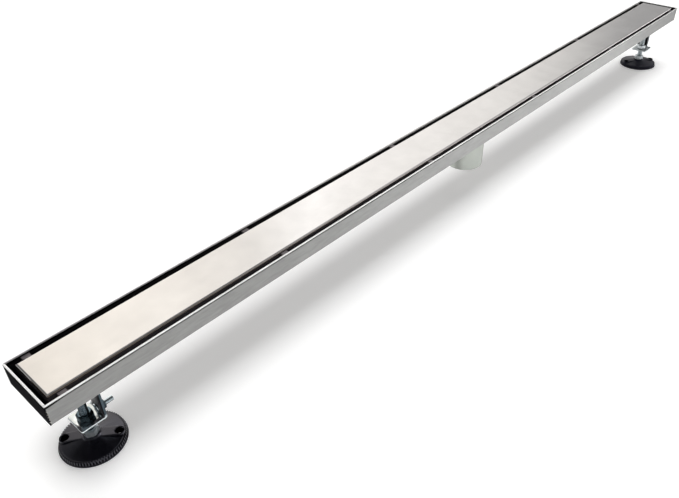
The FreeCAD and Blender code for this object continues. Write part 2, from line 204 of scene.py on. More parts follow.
sheetKinds = {
    # edge is the hem's dark band, painted shade
    "channel": {"name": "rolledStainless", "wall": "A6A6A5", "edge": "141416",
                "stretch": 0.8, "grazing": 1.0, "farRimFades": True},
    # the end caps: painted shade, a near-black wall and reflection dimmed at a grazing angle
    "cap": {"name": "shadedCapStainless", "wall": "131315", "edge": "0E0E10",
            "stretch": 0.0, "grazing": 0.12, "farRimFades": False}}


def hemShade(tree, axes, kind, v):
    # the wall's own grey, with painted shade: dark inside the channel, and a dark band on the hem painted as
    # the shade of the crease under it; this painted band reaches lower at the ends and fades towards the right
    along = addNode(tree, "ShaderNodeMath", {0: axes["X"]}, operation="ABSOLUTE").outputs["Value"]
    burn = addNode(tree, "ShaderNodeMapRange", {
        "Value": along, "From Min": v["endShadeFrom"] * mm, "From Max": v["endShadeTo"] * mm,
        "To Max": v["endShadeDrop"] * mm}).outputs["Result"]
    height = addNode(tree, "ShaderNodeMath", {0: axes["Z"], 1: burn}, operation="ADD").outputs["Value"]
    onHem = addNode(tree, "ShaderNodeMapRange", {
        "Value": height, "From Min": (v["hemFoot"] - v["hemBlur"]) * mm,
        "From Max": (v["hemFoot"] + v["hemBlur"]) * mm}).outputs["Result"]
    across = addNode(tree, "ShaderNodeMath", {0: axes["Y"]}, operation="ABSOLUTE").outputs["Value"]
    indoors = addNode(tree, "ShaderNodeMath", {
        0: across, 1: v["insideReach"] * mm}, operation="LESS_THAN").outputs["Value"]
    crease = addNode(tree, "ShaderNodeMapRange", {
        "Value": axes["X"], "From Min": v["creaseShadeFrom"] * mm, "From Max": v["creaseShadeTo"] * mm,
        "To Min": 1.0, "To Max": v["creaseShadeLeft"]}).outputs["Result"]
    inCrease = addNode(tree, "ShaderNodeMath", {0: indoors, 1: crease}, operation="MAXIMUM").outputs["Value"]
    onFold = addNode(tree, "ShaderNodeMath", {0: onHem, 1: inCrease}, operation="MULTIPLY").outputs["Value"]
    plain = addNode(tree, "ShaderNodeMix", {
        "Factor": indoors, "A": linear(kind["wall"]), "B": linear(v["inside"])}, data_type="RGBA")
    return addNode(tree, "ShaderNodeMix", {
        "Factor": onFold, "A": plain.outputs["Result"], "B": linear(kind["edge"])},
        data_type="RGBA").outputs["Result"]


def farRimWear(tree, axes, v):
    # painted light on the far rim: its crown, painted near-white as a highlight, reaches lower towards the
    # right; at the left it is painted duller, and its lip painted dark, as shade
    atLeft = addNode(tree, "ShaderNodeMapRange", {
        "Value": axes["X"], "From Min": v["leftFrom"] * mm, "From Max": v["leftTo"] * mm,
        "To Min": 1.0, "To Max": 0.0}).outputs["Result"]
    farSide = addNode(tree, "ShaderNodeMath", {
        0: axes["Y"], 1: 0.0}, operation="GREATER_THAN").outputs["Value"]
    farFoot = addNode(tree, "ShaderNodeMapRange", {
        "Value": axes["X"], "From Min": v["leftFrom"] * mm, "From Max": v["crownTo"] * mm,
        "To Min": v["farCrown"] * mm, "To Max": v["farCrownEnd"] * mm}).outputs["Result"]
    foot = addNode(tree, "ShaderNodeMix", {"Factor": farSide, "A": v["crown"] * mm, "B": farFoot})
    onLip = addNode(tree, "ShaderNodeMath", {
        0: axes["Y"], 1: v["lip"] * mm}, operation="GREATER_THAN").outputs["Value"]
    shadedLip = addNode(tree, "ShaderNodeMath", {0: onLip, 1: atLeft}, operation="MULTIPLY").outputs["Value"]
    tone = addNode(tree, "ShaderNodeMix", {
        "Factor": atLeft, "A": linear(v["farRimHighlight"]), "B": linear(v["farRimLeftShade"])},
        data_type="RGBA").outputs["Result"]
    tone = addNode(tree, "ShaderNodeMix", {
        "Factor": shadedLip, "A": tone, "B": linear(v["lipShade"])}, data_type="RGBA").outputs["Result"]
    tone = addNode(tree, "ShaderNodeMix", {
        "Factor": farSide, "A": linear(v["rim"]), "B": tone}, data_type="RGBA").outputs["Result"]
    return foot.outputs["Result"], tone


def rolledShade(tree, point, axes, v):
    # short streaks along the sheet over broad stains, and painted shade darkening it towards the right end
    high = scaleFor(v["streakHigh"])
    drawn = addNode(tree, "ShaderNodeMapping", {
        "Vector": point, "Scale": (scaleFor(v["streakLong"]), high, high)})
    streaks = addNode(tree, "ShaderNodeTexNoise", {
        "Vector": drawn.outputs["Vector"], "Scale": 1.0, "Detail": 4.0, "Roughness": 0.65}).outputs["Fac"]
    stain = addNode(tree, "ShaderNodeTexNoise", {
        "Vector": point, "Scale": scaleFor(v["stain"]), "Detail": 3.0}).outputs["Fac"]
    shade = addNode(tree, "ShaderNodeMath", {
        0: stain, 1: v["stainPart"], 2: streaks}, operation="MULTIPLY_ADD").outputs["Value"]
    shade = addNode(tree, "ShaderNodeMapRange", {
        "Value": shade, "From Min": v["shadeFrom"], "From Max": v["shadeTo"],
        "To Min": v["darkest"], "To Max": v["palest"]}).outputs["Result"]
    # painted shade: darker towards the right end
    rightEnd = addNode(tree, "ShaderNodeMapRange", {
        "Value": axes["X"], "From Min": v["rightShadeFrom"] * mm, "From Max": v["rightShadeTo"] * mm,
        "To Min": 1.0, "To Max": v["rightShadeLevel"]}).outputs["Result"]
    return addNode(tree, "ShaderNodeMath", {0: shade, 1: rightEnd}, operation="MULTIPLY").outputs["Value"]


def sheetSteel(kind, v):
    # rolled stainless sheet, as it leaves the mill: grey and dull along its grain, with a worn crown painted
    # near-white as a highlight
    # the end caps are the same sheet with painted shade: nearly black, and dim at a grazing angle
    material, tree = startMaterial(kind["name"])
    point = addNode(tree, "ShaderNodeTexCoord").outputs["Object"]
    axes = addNode(tree, "ShaderNodeSeparateXYZ", {"Vector": point}).outputs
    crownFoot = v["crown"] * mm
    crown = linear(v["rim"])
    if kind["farRimFades"]:
        crownFoot, crown = farRimWear(tree, axes, v)
    # the crown: worn bright, and painted near-white and nearly unmetallic as a highlight line
    onCrown = addNode(tree, "ShaderNodeMath", {
        0: axes["Z"], 1: crownFoot}, operation="GREATER_THAN").outputs["Value"]
    finish = addNode(tree, "ShaderNodeMix", {
        "Factor": onCrown, "A": hemShade(tree, axes, kind, v), "B": crown},
        data_type="RGBA").outputs["Result"]
    colour = addNode(tree, "ShaderNodeVectorMath", {
        0: finish, "Scale": rolledShade(tree, point, axes, v)}, operation="SCALE").outputs["Vector"]
    rough = addNode(tree, "ShaderNodeMapRange", {
        "Value": onCrown, "To Min": v["roughness"], "To Max": v["crownRoughness"]}).outputs["Result"]
    metallic = addNode(tree, "ShaderNodeMapRange", {
        "Value": onCrown, "To Min": 1.0, "To Max": v["crownMetallic"]}).outputs["Result"]
    grain = addNode(tree, "ShaderNodeTexNoise", {
        "Vector": point, "Scale": scaleFor(v["grain"]), "Detail": 3.0})
    bump = addNode(tree, "ShaderNodeBump", {
        "Height": grain.outputs["Fac"], "Strength": v["grainStrength"], "Distance": v["grainDepth"] * mm})
    upright = addNode(tree, "ShaderNodeCombineXYZ", {"X": 0.0, "Y": 1.0, "Z": 1.0})
    shader = addNode(tree, "ShaderNodeBsdfPrincipled", {
        "Base Color": colour, "Metallic": metallic, "Roughness": rough,
        "Specular Tint": grey(kind["grazing"]), "Anisotropic": kind["stretch"],
        "Tangent": upright.outputs["Vector"], "Normal": bump.outputs["Normal"]})
    endMaterial(tree, shader)
    return material


# small metal parts: a light and a dark tone in patches, and how rough, fine and metallic each is
plainFinishes = {
    # stainless strip, press-formed: dull, and drawn dark grey as painted shade in the slot, so it shows as a
    # soft grey patch and mirrors little
    "formedStainlessInShade": {"tones": ("6A6466", "585356"), "roughness": 0.4, "patch": 9.0,
                        "depth": 0.02, "metallic": 0.2},
    # stainless tube, drawn and pickled: an even satin
    "satinTube": {"tones": ("BFC3BD", "AEB2AC"), "roughness": 0.34, "patch": 22.0, "depth": 0.02},
    # weld bead, left as welded: shiny drops with brown heat stains
    "weldBead": {"tones": ("D2CFCA", "6A6560"), "roughness": 0.14, "patch": 1.2, "depth": 0.05},
    # steel screw, bright zinc plated: a clear cold shine
    "brightZinc": {"tones": ("DDE4E7", "BAC4C8"), "roughness": 0.13, "patch": 3.5, "depth": 0.03},
    # steel nut, zinc plated and passivated: a blue shine, drawn dark as painted shade; the near foot's copy
    "shadedBlueNut": {"tones": ("7C8D96", "4B5A62"), "roughness": 0.1, "patch": 2.6, "depth": 0.03},
    # the same nut painted pale and rough as a lit copy, for the far foot: it holds little reflection
    "paleLitNut": {"tones": ("D9DEE0", "BFC6C9"), "roughness": 0.34, "patch": 2.6, "depth": 0.03},
    # steel nut, bright zinc plated: drawn light and part metallic, painted light that lifts it out of the
    # flange's shade
    "litZincNut": {"tones": ("F4F8FA", "A9B6BE"), "roughness": 0.1, "patch": 2.6,
                      "depth": 0.03, "metallic": 0.65},
    # steel stud with a rolled thread, zinc plated and passivated: blue-grey lines of light, drawn darker as
    # painted shade held in the thread
    "shadedBlueThread": {"tones": ("98A2A8", "7C878E"), "roughness": 0.2, "patch": 3.5, "depth": 0.03},
    # the same stud painted pale and soft as a lit copy, for the far foot
    "paleLitThread": {"tones": ("D2D8DA", "B6BEC2"), "roughness": 0.4, "patch": 3.5, "depth": 0.03}}
plating = {"speck": 0.714, "strength": 0.15, "smoother": 0.05, "rougher": 0.07}


def plainMetal(name, v):
    # the plating's own specks are some 0.05 mm wide, too fine to show, so they are drawn 0.7 mm wide
    material, tree = startMaterial(name)
    point = addNode(tree, "ShaderNodeTexCoord").outputs["Object"]
    patches = addNode(tree, "ShaderNodeTexNoise", {
        "Vector": point, "Scale": scaleFor(v["patch"]), "Detail": 4.0}).outputs["Fac"]
    light, dark = v["tones"]
    colour = addNode(tree, "ShaderNodeMix", {
        "Factor": patches, "A": linear(light), "B": linear(dark)}, data_type="RGBA").outputs["Result"]
    rough = addNode(tree, "ShaderNodeMapRange", {
        "Value": patches, "To Min": v["roughness"] - plating["smoother"],
        "To Max": v["roughness"] + plating["rougher"]}).outputs["Result"]
    specks = addNode(tree, "ShaderNodeTexNoise", {
        "Vector": point, "Scale": scaleFor(plating["speck"]), "Detail": 2.0}).outputs["Fac"]
    bump = addNode(tree, "ShaderNodeBump", {
        "Height": specks, "Strength": plating["strength"], "Distance": v["depth"] * mm})
    shader = addNode(tree, "ShaderNodeBsdfPrincipled", {
        "Base Color": colour, "Metallic": v.get("metallic", 1.0),
        "Roughness": rough, "Normal": bump.outputs["Normal"]})
    endMaterial(tree, shader)
    return material


# brackets
bracketFinish = {
    # leg tones, roughness and metal by side: painted shade on the near foot's leg, painted light on the far
    # foot's
    "flange": ("EEF3F5", "CBD4D8"), "leg": {"left": ("3A454B", "56626A"), "right": ("DCE2E4", "C0C8CB")},
    "roughness": {"left": 0.1, "right": 0.34}, "rougher": 0.12, "metallic": {"left": 1.0, "right": 0.4},
    "bendLow": 30.6, "bendHigh": 32.5, "patch": 3.5, "depth": 0.03}


def bentZinc(side, v):
    # zinc-plated steel strip, bent: bright on the flange; up the bent leg, painted shade on the near foot, and
    # on the far foot a pale rough copy painted as lit
    material, tree = startMaterial(side + "BracketZinc")
    point = addNode(tree, "ShaderNodeTexCoord").outputs["Object"]
    patches = addNode(tree, "ShaderNodeTexNoise", {
        "Vector": point, "Scale": scaleFor(v["patch"]), "Detail": 4.0}).outputs["Fac"]
    flange, leg = [addNode(tree, "ShaderNodeMix", {
        "Factor": patches, "A": linear(light), "B": linear(dark)}, data_type="RGBA").outputs["Result"]
        for light, dark in (v["flange"], v["leg"][side])]
    height = addNode(tree, "ShaderNodeSeparateXYZ", {"Vector": point}).outputs["Z"]
    pastBend = addNode(tree, "ShaderNodeMapRange", {
        "Value": height, "From Min": v["bendLow"] * mm, "From Max": v["bendHigh"] * mm}).outputs["Result"]
    colour = addNode(tree, "ShaderNodeMix", {
        "Factor": pastBend, "A": flange, "B": leg}, data_type="RGBA").outputs["Result"]
    roughness = v["roughness"][side]
    rough = addNode(tree, "ShaderNodeMapRange", {
        "Value": patches, "To Min": roughness, "To Max": roughness + v["rougher"]}).outputs["Result"]
    specks = addNode(tree, "ShaderNodeTexNoise", {
        "Vector": point, "Scale": scaleFor(plating["speck"]), "Detail": 2.0}).outputs["Fac"]
    bump = addNode(tree, "ShaderNodeBump", {
        "Height": specks, "Strength": plating["strength"], "Distance": v["depth"] * mm})
    shader = addNode(tree, "ShaderNodeBsdfPrincipled", {
        "Base Color": colour, "Metallic": v["metallic"][side],
        "Roughness": rough, "Normal": bump.outputs["Normal"]})
    endMaterial(tree, shader)
    return material


# feet
nylonFinish = {
    # by side: the far foot's disc is a lighter, rougher copy, painted light
    "tones": {"left": ("06060A", "0C0C14"), "right": ("1C1C27", "282836")},
    "roughness": {"left": 0.16, "right": 0.4}, "rougher": 0.1, "sheen": {"left": 0.8, "right": 0.3},
    "sheenTint": (0.86, 0.86, 1.0, 1.0), "ior": 1.53,
    "spark": 0.625, "sparkDepth": 0.05, "sparkStrength": 0.12, "scuff": 8.33,
    "holeShadeTones": ("030304", "08080A"), "holeShadeRoughness": 0.9, "dust": 1.11}


def mouldedPlastic(side, v):
    # glass-filled nylon, moulded: black with a spark texture and a broad cool sheen; the far foot's copy is
    # painted lighter and rougher, as lit
    # a mould's spark texture is some 0.1 mm across, so it is drawn coarser to show
    material, tree = startMaterial(side + "MouldedNylon")
    point = addNode(tree, "ShaderNodeTexCoord").outputs["Object"]
    spark = addNode(tree, "ShaderNodeTexNoise", {
        "Vector": point, "Scale": scaleFor(v["spark"]), "Detail": 3.0}).outputs["Fac"]
    scuffs = addNode(tree, "ShaderNodeTexNoise", {
        "Vector": point, "Scale": scaleFor(v["scuff"]), "Detail": 5.0}).outputs["Fac"]
    light, dark = v["tones"][side]
    colour = addNode(tree, "ShaderNodeMix", {
        "Factor": scuffs, "A": linear(light), "B": linear(dark)}, data_type="RGBA").outputs["Result"]
    roughness = v["roughness"][side]
    rough = addNode(tree, "ShaderNodeMapRange", {
        "Value": scuffs, "To Min": roughness, "To Max": roughness + v["rougher"]}).outputs["Result"]
    bump = addNode(tree, "ShaderNodeBump", {
        "Height": spark, "Strength": v["sparkStrength"], "Distance": v["sparkDepth"] * mm})
    shader = addNode(tree, "ShaderNodeBsdfPrincipled", {
        "Base Color": colour, "Roughness": rough, "IOR": v["ior"],
        "Specular IOR Level": v["sheen"][side], "Specular Tint": v["sheenTint"],
        "Normal": bump.outputs["Normal"]})
    endMaterial(tree, shader)
    return material


def deepPlastic(v):
    # painted shade: the same nylon deep in a screw hole, drawn black without a sheen for the shade where no
    # light reaches
    material, tree = startMaterial("paintedShadeNylon")
    point = addNode(tree, "ShaderNodeTexCoord").outputs["Object"]
    dust = addNode(tree, "ShaderNodeTexNoise", {"Vector": point, "Scale": scaleFor(v["dust"]), "Detail": 2.0})
    light, dark = v["holeShadeTones"]
    colour = addNode(tree, "ShaderNodeMix", {
        "Factor": dust.outputs["Fac"], "A": linear(light), "B": linear(dark)}, data_type="RGBA")
    shader = addNode(tree, "ShaderNodeBsdfPrincipled", {
        "Base Color": colour.outputs["Result"], "Roughness": v["holeShadeRoughness"], "Specular IOR Level": 0.0})
    endMaterial(tree, shader)
    return material


coverSteel = brushedSteel(coverFinish)
channelSteel = sheetSteel(sheetKinds["channel"], sheetFinish)
capSteel = sheetSteel(sheetKinds["cap"], sheetFinish)
metals = {name: plainMetal(name, look) for name, look in plainFinishes.items()}
# the near foot takes the darker copies, painted shade, and the far foot the pale copies, painted light
flangeNutZinc = {"left": metals["shadedBlueNut"], "right": metals["paleLitNut"]}
hubNutZinc = {"left": metals["litZincNut"], "right": metals["paleLitNut"]}
studZinc = {"left": metals["shadedBlueThread"], "right": metals["paleLitThread"]}
bracketZinc = {side: bentZinc(side, bracketFinish) for side in ("left", "right")}
nylon = {side: mouldedPlastic(side, nylonFinish) for side in ("left", "right")}
nylonDeep = deepPlastic(nylonFinish)
print("finishes made")


# dressing the solids; what no key matches is a zinc-plated fastener or bracket
finishes = {"channel_tray": channelSteel, "end_cap": capSteel, "outlet_spigot": metals["satinTube"],
            "cover_plate": coverSteel, "cover_strip": metals["formedStainlessInShade"],
            "foot_disc": nylon["left"], "tray_tab": channelSteel}
for name, node in nodes.items():
    finish = next((m for key, m in finishes.items() if key in name), metals["brightZinc"])
    node.data.materials.clear()
    node.data.materials.append(finish)
print("solids dressed")


# making pieces
fineGap = 1e-4  # vertices this close are one, in a turned shape
mergeGap = 1e-3  # and in threads and copies of solids
near = 0.01  # slack in telling which vertices lie on a face or a middle line
flat = math.radians(0.5)
easing = {"sharp": math.radians(35), "segments": 2}


def newObject(bm, name, *finishes):
    data = bpy.data.meshes.new(name)
    bm.to_mesh(data)
    bm.free()
    for finish in finishes:
        data.materials.append(finish)
    piece = bpy.data.objects.new(name, data)
    bpy.context.scene.collection.objects.link(piece)
    return piece


def turned(profile, steps):
    # a solid of revolution from (radius, height) points
    bm = bmesh.new()
    verts = [bm.verts.new((r, 0, h)) for r, h in profile]
    edges = [bm.edges.new(pair) for pair in zip(verts, verts[1:])]
    if profile[0][0] > 0:
        edges.append(bm.edges.new((verts[-1], verts[0])))
    bmesh.ops.spin(bm, geom=verts + edges, cent=(0, 0, 0), axis=(0, 0, 1), angle=2 * math.pi, steps=steps,
                   use_merge=True)
    bmesh.ops.remove_doubles(bm, verts=bm.verts, dist=fineGap)
    bmesh.ops.recalc_face_normals(bm, faces=bm.faces)
    return bm


def prism(sides, radius, low, high):
    bm = bmesh.new()
    bmesh.ops.create_cone(bm, cap_ends=True, segments=sides, radius1=radius, radius2=radius, depth=high - low)
    bmesh.ops.translate(bm, verts=bm.verts, vec=(0, 0, (low + high) / 2))
    return bm


def turnAbout(bm, angle, axis):
    bmesh.ops.rotate(bm, verts=bm.verts, cent=(0, 0, 0), matrix=Matrix.Rotation(angle, 3, axis))


def carve(bm, tool, operation):
    # one boolean between two meshes; both are used up and the result comes back
    pair = [newObject(source, "work") for source in (bm, tool)]
    change = pair[0].modifiers.new("carve", "BOOLEAN")
    change.object = pair[1]
    change.operation = operation
    change.solver = "EXACT"
    result = bmesh.new()
    result.from_object(pair[0], bpy.context.evaluated_depsgraph_get())
    for obj in pair:
        data = obj.data
        bpy.data.objects.remove(obj)
        bpy.data.meshes.remove(data)
    return result


def joined(*parts):
    # loose parts put into one mesh
    whole = bmesh.new()
    for part in parts:
        data = bpy.data.meshes.new("work")
        part.to_mesh(data)
        part.free()
        whole.from_mesh(data)
        bpy.data.meshes.remove(data)
    return whole


# a metric thread's profile, as shares of its pitch: its depth, and where root and crest lie in one turn
threadForm = {"depth": 0.6134, "rootEnd": 0.25, "crestFrom": 0.5625, "crestTo": 0.6875}


def threaded(radius, pitch, low, high, chamfer, steps):
    # one turn's zigzag is spun upwards, cut square at both ends and drawn in there
    core = radius - threadForm["depth"] * pitch
    turns = math.ceil((high - low) / pitch) + 2
    zigzag = [(core, 0), (core, threadForm["rootEnd"]), (radius, threadForm["crestFrom"]),
              (radius, threadForm["crestTo"]), (core, 1)]
    bm = bmesh.new()
    verts = [bm.verts.new((r, 0, low + pitch * (share - 1))) for r, share in zigzag]
    edges = [bm.edges.new(pair) for pair in zip(verts, verts[1:])]
    bmesh.ops.spin(bm, geom=verts + edges, cent=(0, 0, 0), axis=(0, 0, 1), dvec=(0, 0, pitch / steps),
                   angle=2 * math.pi * turns, steps=turns * steps)
    bmesh.ops.remove_doubles(bm, verts=bm.verts, dist=mergeGap)
    for height, side in ((low, -1), (high, 1)):
        cut = bmesh.ops.bisect_plane(bm, geom=bm.verts[:] + bm.edges[:] + bm.faces[:], plane_co=(0, 0, height),
                                     plane_no=(0, 0, side), clear_outer=True)
        rim = [e for e in cut["geom_cut"] if isinstance(e, bmesh.types.BMEdge)]
        bmesh.ops.contextual_create(bm, geom=rim)
    for v in bm.verts:
        limit = radius - chamfer + min(v.co.z - low, high - v.co.z)
        reach = math.hypot(v.co.x, v.co.y)
        if reach > limit:
            v.co.x *= limit / reach
            v.co.y *= limit / reach
    bmesh.ops.recalc_face_normals(bm, faces=bm.faces)
    return bm


def setPiece(bm, name, at, finish, slot, body, *solids, turn=0, smooth=32):
    # into metres and its place, then dressed and hung on its body
    turnAbout(bm, math.radians(turn), "Z")
    bmesh.ops.translate(bm, verts=bm.verts, vec=at)
    bmesh.ops.scale(bm, verts=bm.verts, vec=(mm, mm, mm))
    piece = newObject(bm, name, finish)
    piece.data.shade_smooth()
    piece.data.set_sharp_from_angle(angle=math.radians(smooth))
    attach(piece, body)
    if solids:
        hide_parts(*solids)
    return piece


def softened(solid, finish, slot, body, width, liftFrom=math.inf, lift=0.0):
    # the solid's own shape with its sharp edges eased, and what is above liftFrom raised by lift
    bm = bmesh.new()
    bm.from_mesh(nodes[solid].data)
    bmesh.ops.scale(bm, verts=bm.verts, vec=(1 / mm, 1 / mm, 1 / mm))
    bmesh.ops.remove_doubles(bm, verts=bm.verts, dist=mergeGap)
    bmesh.ops.dissolve_limit(bm, angle_limit=flat, verts=bm.verts, edges=bm.edges)
    for w in bm.verts:
        if w.co.z > liftFrom:
            w.co.z += lift
    sharp = [e for e in bm.edges if len(e.link_faces) == 2 and e.calc_face_angle() > easing["sharp"]]
    bmesh.ops.bevel(bm, geom=sharp, offset=width, segments=easing["segments"], profile=0.5, affect="EDGES",
                    clamp_overlap=True, material=-1)
    return setPiece(bm, solid.title().replace("_", "") + "Eased", (0, 0, 0), finish, slot, body, solid)


# levelling feet
footInset = 36.3
footAxis = {"left": footInset - halfLength, "right": halfLength - footInset}
discSizes = {
    "radius": 30.5, "edge": 5.2, "ringTop": 27.9, "hub": 8.5, "hubTop": 10.7, "bell": 9.2, "ease": 0.4,
    "blend": 1.4, "blendLow": 0.1, "blendPart": 0.4, "blendEnd": 0.6, "blendAngles": (0.8, 1.25),
    "bore": 4.05, "boreTop": 23.5, "seat": 2.5, "turnedSteps": 128, "boreSteps": 48,
    "lip": 1.2, "lipEase": 0.3, "grooveRise": 0.5, "grooveDrop": 0.3, "shoulderRise": 0.1,
    "grooveOut": (1.3, 0.9, 0.5),  # the groove's foot, its top and the shoulder, out from the fins' start
    "bar": 10.5, "barFoot": 0.4, "barTop": 8.0, "barMiddle": 10.4, "barSides": 40,
    "barEase": 0.5, "barEaseSteps": 3, "barSharp": 0.8,
    "hole": 3.6, "holePlace": 23.3, "holeFoot": 0.3, "holeFootTop": 0.5, "holeFlare": 0.45,
    "holeFlareDrop": 0.4, "holeFlareTop": 0.05, "toolLow": -1.0, "toolHigh": 12.0, "deepSkin": 0.05,
    "fins": 72, "finStart": 26.8, "finReach": 29.2, "finToe": 29.9, "finTop": 5.15, "finFoot": 1.0,
    "finWide": 1.2, "finEase": 0.2, "turn": -38}
studSizes = {"radius": 4.0, "pitch": 1.25, "low": 2.5, "high": 60.5, "chamfer": 0.7, "steps": 24}
nutSizes = {"flats": 13.0, "height": 6.5, "bore": 4.05, "lead": 0.35}
nutForm = {"blankPart": 0.97, "over": 0.2, "chamfer": math.radians(30), "steps": 72, "spare": 1.0}
hubNutFoot = 10.7
flangeNutFoot = 30.0


def hexNut(v):
    # a hexagon cut by a turned blank, which leaves the round chamfers at both faces
    corner = v["flats"] / math.sqrt(3)
    reach = corner + nutForm["over"]
    blank = v["flats"] / 2 * nutForm["blankPart"]
    drop = (reach - blank) * math.tan(nutForm["chamfer"])
    top = v["height"]
    lead = v["lead"]
    bore = v["bore"]
    outline = [(bore, lead), (bore + lead, 0), (blank, 0), (reach, drop),
               (reach, top - drop), (blank, top), (bore + lead, top), (bore, top - lead)]
    hexagon = prism(6, corner, -nutForm["spare"], top + nutForm["spare"])
    return carve(hexagon, turned(outline, nutForm["steps"]), "INTERSECT")


def discBell(v):
    # the turned bell: the lip, the groove behind the fins, the slope and the hub round its bore
    r = v["radius"]
    b = v["blend"]
    hub = v["hub"]
    slope = (v["bell"] - v["edge"]) / (v["ringTop"] - hub)
    foot = v["bell"] - slope * b * v["blendPart"] - v["blendLow"]
    blend = [(hub + b * (1 - math.sin(a)), foot + b * (1 - math.cos(a))) for a in v["blendAngles"]]
    grooveFoot, grooveTop, shoulder = [v["finStart"] + out for out in v["grooveOut"]]
    outline = [(0, 0), (r - v["ease"], 0), (r, v["ease"]), (r, v["lip"] - v["lipEase"]),
               (r - v["lipEase"], v["lip"])]
    outline += [(grooveFoot, v["lip"] + v["grooveRise"]), (grooveTop, v["edge"] - v["grooveDrop"])]
    outline += [(shoulder, v["edge"] + v["shoulderRise"]), (hub + b, v["bell"] - slope * b)] + blend
    outline += [(hub, v["bell"] + b * v["blendEnd"]), (hub, v["hubTop"] - v["ease"]),
                (hub - v["ease"], v["hubTop"])]
    outline += [(v["bore"], v["hubTop"]), (v["bore"], v["seat"]), (0, v["seat"])]
    return turned(outline, v["turnedSteps"])


def discBar(v):
    # the raised bar across the bell, highest in the middle, with round ends about the screw holes
    bar = bmesh.new()
    bmesh.ops.create_cube(bar, size=1)
    bmesh.ops.scale(bar, verts=bar.verts, vec=(2 * v["holePlace"], v["bar"], v["barTop"] - v["barFoot"]))
    bmesh.ops.translate(bar, verts=bar.verts, vec=(0, 0, (v["barTop"] + v["barFoot"]) / 2))
    bmesh.ops.bisect_plane(bar, geom=bar.verts[:] + bar.edges[:] + bar.faces[:], plane_co=(0, 0, 0),
                           plane_no=(1, 0, 0))
    for w in bar.verts:
        if abs(w.co.x) < near and w.co.z > v["barTop"] - near:
            w.co.z = v["barMiddle"]
    for side in (-1, 1):
        end = prism(v["barSides"], v["bar"] / 2, v["barFoot"], v["barTop"])
        bmesh.ops.translate(end, verts=end.verts, vec=(side * v["holePlace"], 0, 0))
        bar = carve(bar, end, "UNION")
    bmesh.ops.dissolve_limit(bar, angle_limit=flat, verts=bar.verts, edges=bar.edges)
    onTop = [e for e in bar.edges if all(w.co.z > v["barTop"] - near for w in e.verts)]
    rim = [e for e in onTop if e.calc_face_angle(0) > v["barSharp"]]
    bmesh.ops.bevel(bar, geom=rim, offset=v["barEase"], segments=v["barEaseSteps"], profile=0.5, affect="EDGES",
                    clamp_overlap=True, material=-1)
    return bar


def screwHole(v, side):
    # the tool for one screw hole, a little wider at the foot and flared at the bar's top
    r = v["hole"]
    flare = r + v["holeFlare"]
    outline = [(0, v["toolLow"]), (r + v["holeFoot"], v["toolLow"]), (r, v["holeFootTop"]),
               (r, v["barTop"] - v["holeFlareDrop"]), (flare, v["barTop"] + v["holeFlareTop"]),
               (flare, v["toolHigh"]), (0, v["toolHigh"])]
    hole = turned(outline, v["boreSteps"])
    bmesh.ops.translate(hole, verts=hole.verts, vec=(side * v["holePlace"], 0, 0))
    return hole


def discFin(v, turn):
    # one fin of the grip round the edge: a small block drawn in at its top, its outer corners eased
    fin = bmesh.new()
    bmesh.ops.create_cube(fin, size=1)
    for w in fin.verts:
        low = w.co.z < 0
        outer = v["finToe"] if low else v["finReach"]
        w.co.x = v["finStart"] if w.co.x < 0 else outer
        w.co.y *= v["finWide"]
        w.co.z = v["finFoot"] if low else v["finTop"]
    halfway = (v["finStart"] + v["finReach"]) / 2
    crest = [e for e in fin.edges if all(w.co.x > halfway for w in e.verts)]
    bmesh.ops.bevel(fin, geom=crest, offset=v["finEase"], segments=2, profile=0.5, affect="EDGES",
                    clamp_overlap=True, material=-1)
    turnAbout(fin, turn, "Z")
    return fin


def footDisc(v):
    disc = carve(discBell(v), discBar(v), "UNION")
    bore = [(0, v["seat"]), (v["bore"], v["seat"]), (v["bore"], v["boreTop"]), (0, v["boreTop"])]
    disc = carve(disc, turned(bore, v["boreSteps"]), "DIFFERENCE")
    for side in (-1, 1):
        disc = carve(disc, screwHole(v, side), "DIFFERENCE")
    fins = [discFin(v, 2 * math.pi * k / v["fins"]) for k in range(v["fins"])]
    whole = joined(disc, *fins)
    for f in whole.faces:
        centre = f.calc_center_median()
        if math.hypot(abs(centre.x) - v["holePlace"], centre.y) < v["hole"] + v["deepSkin"]:
            f.material_index = 1  # the holes' walls take the painted shade nylon
    return whole


for side, x in footAxis.items():
    body = side + "_foot"
    setPiece(threaded(**studSizes), side + "Stud", (x, 0, 0), studZinc[side], "zinc_plate", body,
             side + "_levelling_stud")
    setPiece(hexNut(nutSizes), side + "HubNut", (x, 0, hubNutFoot), hubNutZinc[side], "zinc_plate", body,
             side + "_hub_nut")
    setPiece(hexNut(nutSizes), side + "FlangeNut", (x, 0, flangeNutFoot), flangeNutZinc[side], "zinc_plate",
             "channel", side + "_flange_nut")
    disc = setPiece(footDisc(discSizes), side + "FootDisc", (x, 0, 0), nylon[side], "black_plastic", body,
                    side + "_foot_disc", turn=discSizes["turn"])
    disc.data.materials.append(nylonDeep)
print("levelling feet made")

# brackets and their screws
bracketEase = 0.3
tabEase = 0.2
screwSizes = {
    "radius": 2.5, "pitch": 0.8, "chamfer": 0.5, "threadSteps": 20, "overlap": 0.5,
    "head": 4.5, "headHeight": 1.5, "headEase": 0.15, "headSteps": 48,
    "start": 10.3, "end": 26.3, "height": 36.0,
    "dome": ((0.45, 0.08), (0.75, 0.28), (0.93, 0.6), (1.0, 0.95)),  # radius shares and falls
    "recess": 2.4, "recessWide": 0.95, "recessDeep": 0.9, "recessTaper": 0.45, "recessTurns": (45, 135)}
screwNutSizes = {"flats": 8.0, "height": 4.0, "bore": 2.55, "lead": 0.25}
screwPlace = {"left": -3.25, "right": 3.25}
screwNutFace = 13.8


